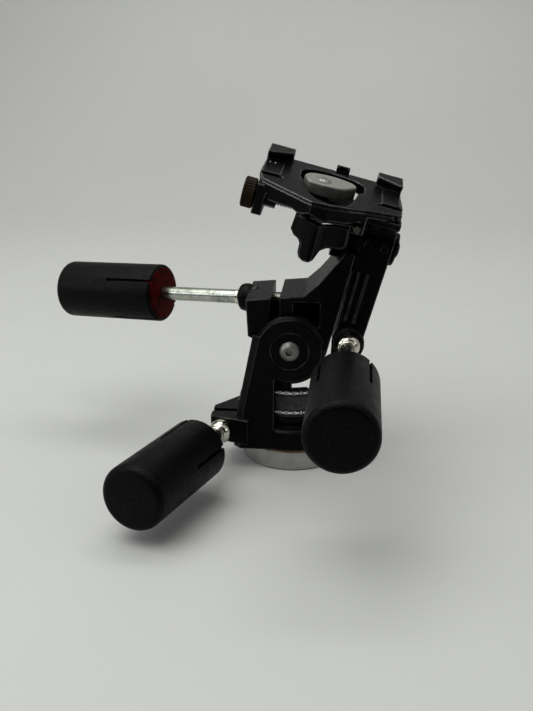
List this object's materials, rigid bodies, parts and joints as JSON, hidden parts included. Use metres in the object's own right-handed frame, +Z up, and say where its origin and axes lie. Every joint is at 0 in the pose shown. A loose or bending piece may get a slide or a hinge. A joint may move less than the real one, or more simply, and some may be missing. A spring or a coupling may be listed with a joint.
{
  "type": "three way pan tilt head",
  "caption": "Three-way pan, tilt and roll camera tripod head with three screw-lock handles, a clamp ring base and a quick-release platform.",
  "frame": {"origin": "centre of the base's underside, on the pan axis, at the mouth of its threaded hole", "axes": "+Z up along the pan axis, +Y away from the viewer along the tilt axis, +X to the right, the way the roll axis points"},
  "size_m": [0.2191, 0.2198, 0.1869],
  "materials": {
    "black_casting": "satin black paint on die-cast alloy",
    "bare_alloy": "turned, satin",
    "cam_alloy": "bare die-cast, dull",
    "steel": "plated, bright",
    "bright_steel": "polished nickel plate",
    "black_steel": "black oxide",
    "spring_steel": "drawn wire",
    "friction_washer": "orange-brown friction plastic",
    "black_washer": "black friction plastic",
    "scale_face": "dark film with white marks",
    "brass": "dark patina",
    "grip_plastic": "moulded, fine leather grain",
    "red_plastic": "moulded, dark red"
  },
  "bodies": {
    "base": {"base_disc": "bare_alloy", "base_insert": "steel", "pan_washer": "friction_washer", "pan_retainer": "steel", "pan_retainer_screw": "steel"},
    "pan_body": {"pan_body": "black_casting", "scale_plate": "scale_face", "tilt_shaft": "steel", "tilt_cap_front": "black_steel", "tilt_cap_rear": "black_steel", "tilt_screw_front": "steel", "tilt_screw_rear": "steel", "tilt_washer_front": "black_washer", "tilt_washer_rear": "black_washer", "pan_seat": "black_steel"},
    "tilt_arm": {"tilt_arm": "black_casting", "tilt_nut": "steel", "roll_shaft": "steel", "roll_washer": "black_washer", "roll_cap": "black_steel", "roll_screw": "steel", "tilt_seat": "black_steel"},
    "platform": {"platform_arm": "black_casting", "platform_plate": "black_casting", "plate_screw_1": "black_steel", "plate_screw_2": "black_steel", "plate_screw_3": "black_steel", "plate_screw_4": "black_steel", "lock_nut": "black_steel", "pin_spring": "spring_steel", "trigger_spring": "spring_steel", "lever_spring": "spring_steel", "roll_seat": "black_steel"},
    "cam_lever": {"cam": "cam_alloy", "cam_shaft": "steel", "lever": "black_casting", "lever_screw": "black_steel"},
    "lock_screw": {"lock_screw": "brass"},
    "safety_pin": {"safety_pin": "steel"},
    "trigger": {"trigger": "black_steel"},
    "pan_rod": {"pan_bar": "steel", "pan_collar": "bright_steel"},
    "tilt_rod": {"tilt_bar": "steel", "tilt_collar": "bright_steel"},
    "roll_rod": {"roll_bar": "steel", "roll_collar": "bright_steel"},
    "pan_grip": {"pan_grip": "grip_plastic", "pan_plug": "red_plastic"},
    "tilt_grip": {"tilt_grip": "grip_plastic", "tilt_plug": "red_plastic"},
    "roll_grip": {"roll_grip": "grip_plastic", "roll_plug": "red_plastic"}
  },
  "joints": [
    {"name": "pan", "type": "hinge", "parent": "base", "child": "pan_body", "pos_m": [0, 0, 0.0187], "axis": [0, 0, 1], "continuous": true},
    {"name": "tilt", "type": "hinge", "parent": "pan_body", "child": "tilt_arm", "pos_m": [0, 0, 0.075], "axis": [0, 1, 0], "range_deg": [-44, 46]},
    {"name": "roll", "type": "hinge", "parent": "tilt_arm", "child": "platform", "pos_m": [0.01688, 0, 0.14025], "axis": [0.9681, 0, -0.2504], "range_deg": [-76, 16]},
    {"name": "lever_turn", "type": "hinge", "parent": "platform", "child": "cam_lever", "pos_m": [0.01206, -0.00286, 0.15358], "axis": [0.2473, -0.1564, 0.9562], "range_deg": [-25, 0], "stiffness_Nm_per_rad": 0.05, "springref_deg": 17.19},
    {"name": "lock_screw_turn", "type": "hinge", "parent": "platform", "child": "lock_screw", "pos_m": [-0.01863, -0.01722, 0.16272], "axis": [0.9681, 0, -0.2504], "continuous": true},
    {"name": "safety_pin_press", "type": "slide", "parent": "platform", "child": "safety_pin", "axis": [0.0392, 0.9877, 0.1515], "range_m": [0, 0.0022], "stiffness_N_per_m": 300, "springref_m": -0.003, "deforming": ["pin_spring"]},
    {"name": "trigger_press", "type": "slide", "parent": "platform", "child": "trigger", "axis": [0.2473, -0.1564, 0.9562], "range_m": [-0.002, 0], "stiffness_N_per_m": 300, "springref_m": 0.003, "deforming": ["trigger_spring"]},
    {"name": "pan_handle_turn", "type": "hinge", "parent": "pan_body", "child": "pan_rod", "pos_m": [-0.0405, -0.03, 0.0243], "axis": [-0.3255, -0.9452, 0.0262], "range_deg": [0, 360]},
    {"name": "tilt_handle_turn", "type": "hinge", "parent": "tilt_arm", "child": "tilt_rod", "pos_m": [-0.0281, 0.0081, 0.0967], "axis": [-0.9423, 0.3281, -0.0663], "range_deg": [0, 360]},
    {"name": "roll_handle_turn", "type": "hinge", "parent": "platform", "child": "roll_rod", "pos_m": [0.03327, -0.0225, 0.07745], "axis": [-0.0178, -0.9998, -0.0062], "range_deg": [0, 360]},
    {"name": "pan_grip_slide", "type": "slide", "parent": "pan_rod", "child": "pan_grip", "axis": [-0.3255, -0.9452, 0.0262], "range_m": [0, 0.03]},
    {"name": "tilt_grip_slide", "type": "slide", "parent": "tilt_rod", "child": "tilt_grip", "axis": [-0.9423, 0.3281, -0.0663], "range_m": [-0.03, 0]},
    {"name": "roll_grip_slide", "type": "slide", "parent": "roll_rod", "child": "roll_grip", "axis": [-0.0178, -0.9998, -0.0062], "range_m": [-0.03, 0]}
  ]
}
